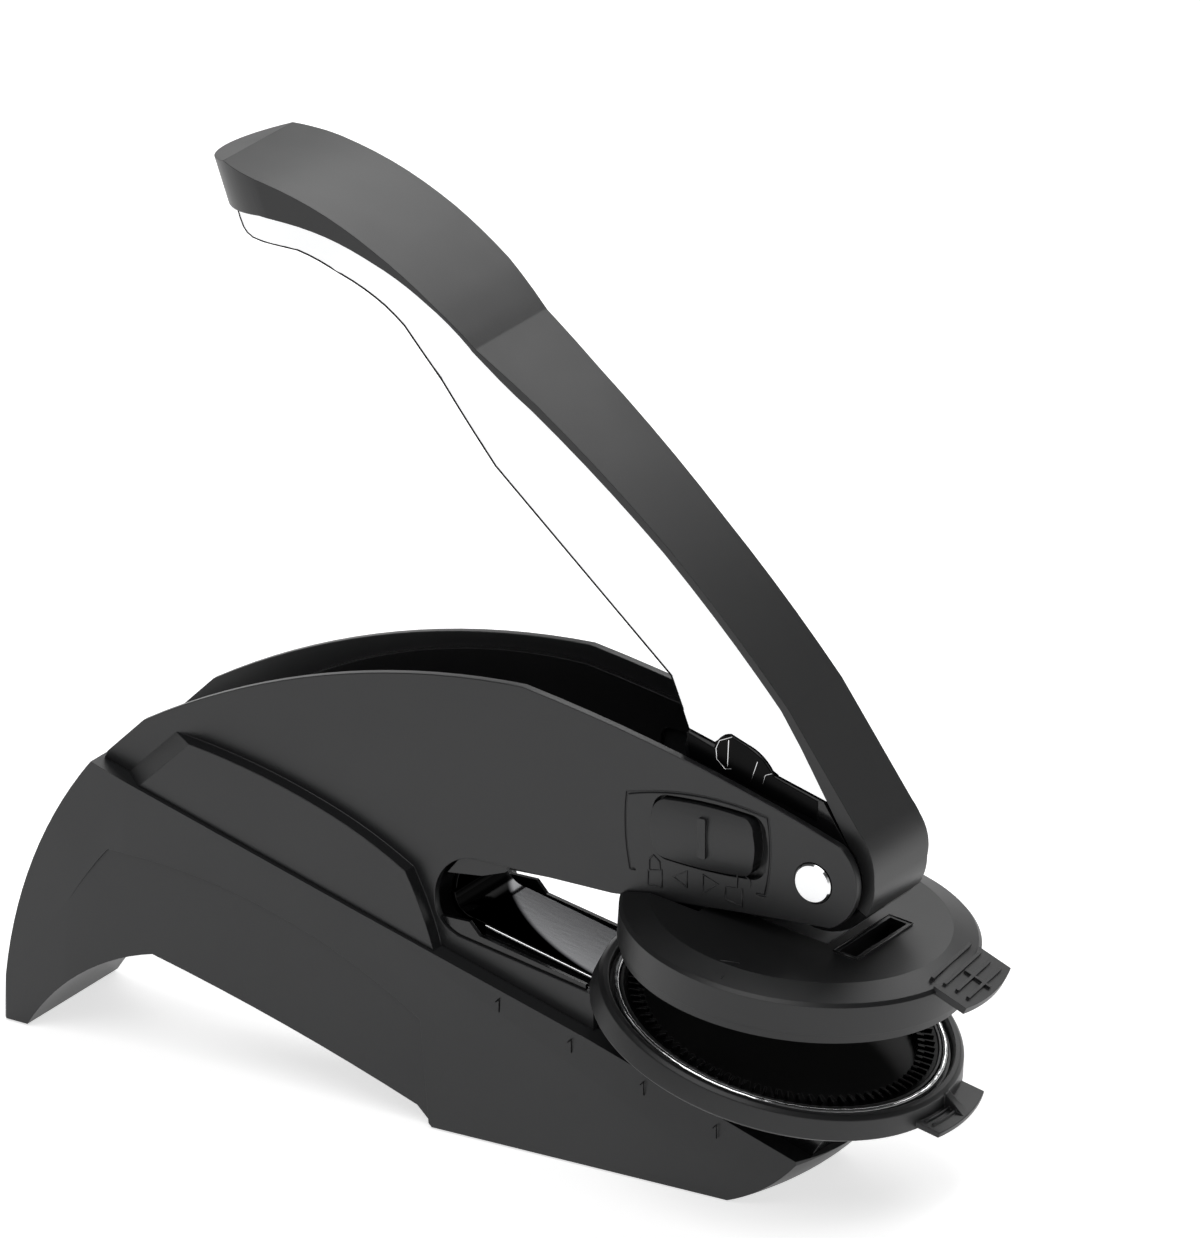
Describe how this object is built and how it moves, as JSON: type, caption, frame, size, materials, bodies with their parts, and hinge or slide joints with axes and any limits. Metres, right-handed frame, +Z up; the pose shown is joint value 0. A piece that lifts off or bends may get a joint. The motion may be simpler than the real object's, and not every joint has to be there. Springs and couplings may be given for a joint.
{
  "type": "seal embosser",
  "caption": "Desk seal embosser: long raised lever on an arched base, with an open throat and a pair of round die holders at the nose that close to emboss paper.",
  "frame": {"origin": "middle of the bounding box at the level of the desk it stands on", "axes": "+X towards the dies at the nose, +Y to the left side, +Z up"},
  "size_m": [0.1591, 0.0552, 0.1412],
  "materials": {
    "base_plastic": "moulded charcoal plastic, satin",
    "cover_plastic": "moulded black plastic, fine satin",
    "clip_plastic": "moulded black plastic, matte",
    "gloss_plastic": "gloss black plastic",
    "hidden_plastic": "black plastic",
    "grip_plastic": "satin charcoal grip",
    "bright_trim": "bright plated",
    "bright_steel": "polished",
    "frame_steel": "black coated steel",
    "spring_steel": "black gloss coated spring steel",
    "steel": "plain steel",
    "die_black": "engraved black die",
    "rubber": "matt rubber"
  },
  "bodies": {
    "frame": {"base_shell": "base_plastic", "base_plate": "hidden_plastic", "base_screws": "steel", "front_pad": "rubber", "rear_pad": "rubber", "inner_body": "hidden_plastic", "frame_plate_left": "frame_steel", "frame_plate_right": "frame_steel", "frame_rivets": "steel", "side_cover_left": "cover_plastic", "side_cover_right": "cover_plastic", "pivot_pin": "bright_steel", "pin_washers": "hidden_plastic", "torsion_spring": "steel", "lower_bed": "gloss_plastic", "clip_leaf_lower": "spring_steel", "clip_lower": "clip_plastic", "retaining_ring": "bright_steel", "die_lower": "die_black"},
    "handle": {"handle_cover": "grip_plastic", "handle_trim": "bright_trim", "lever_hub": "gloss_plastic", "lever_core": "frame_steel"},
    "upper_clip": {"clip_leaf_upper": "spring_steel", "clip_upper": "clip_plastic", "press_pad": "steel", "die_upper": "die_black"},
    "lock": {"lock_button_right": "cover_plastic", "lock_button_left": "cover_plastic", "lock_bar": "hidden_plastic"}
  },
  "joints": [
    {"name": "handle_pivot", "type": "hinge", "parent": "frame", "child": "handle", "pos_m": [0.05656, 0, 0.05108], "axis": [0, -1, 0], "range_deg": [0, 34], "stiffness_Nm_per_rad": 0.25, "springref_deg": -51.57},
    {"name": "clip_flex", "type": "hinge", "parent": "frame", "child": "upper_clip", "pos_m": [-0.004, 0, 0.035], "axis": [0, 1, 0], "range_deg": [0, 8.6]},
    {"name": "lock_slide", "type": "slide", "parent": "frame", "child": "lock", "axis": [1, 0, 0], "range_m": [0, 0.0012]}
  ],
  "couplings": [
    {"joint": "clip_flex", "follows": "handle_pivot", "ratio": 0.25294}
  ]
}
